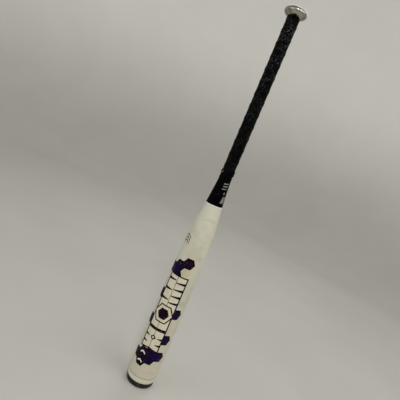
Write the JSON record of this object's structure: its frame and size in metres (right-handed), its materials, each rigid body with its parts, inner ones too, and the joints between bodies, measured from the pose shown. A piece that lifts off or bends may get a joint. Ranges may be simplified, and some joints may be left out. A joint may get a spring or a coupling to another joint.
{
  "type": "baseball bat",
  "caption": "Two-piece baseball bat: hollow tapered barrel closed by an end cap, tube handle wound with grip tape, and a round metal knob.",
  "frame": {"origin": "centre of the end cap's flat end face, on the bat's axis", "axes": "+Z runs along the bat's axis from the end cap to the knob; -Y is the side with the barrel's graphics"},
  "size_m": [0.0666, 0.0666, 0.8636],
  "materials": {
    "barrel_paint": "cream gloss paint, lightly soiled",
    "carbon": "bare carbon laminate",
    "cap": "moulded black urethane, satin",
    "steel": "turned steel",
    "trim": "white gloss",
    "rubber": "matt black rubber",
    "handle_paint": "black gloss paint, scuffed",
    "foam": "closed-cell foam",
    "underlay": "double-sided cloth tape",
    "grip": "black pebbled synthetic leather",
    "finishing_tape": "black vinyl tape",
    "knob_metal": "satin bare aluminium"
  },
  "bodies": {
    "root": {"barrel_shell": "barrel_paint", "barrel_stiffening_ring": "carbon", "end_cap": "cap", "end_cap_weight": "steel", "trim_ring": "trim", "joint_sleeve": "rubber", "handle_tube": "handle_paint", "handle_foam_plug": "foam", "handle_damper": "rubber", "grip_underlay": "underlay", "grip_tape": "grip", "grip_finishing_tape": "finishing_tape", "knob": "knob_metal", "knob_plug": "rubber"}
  },
  "joints": []
}
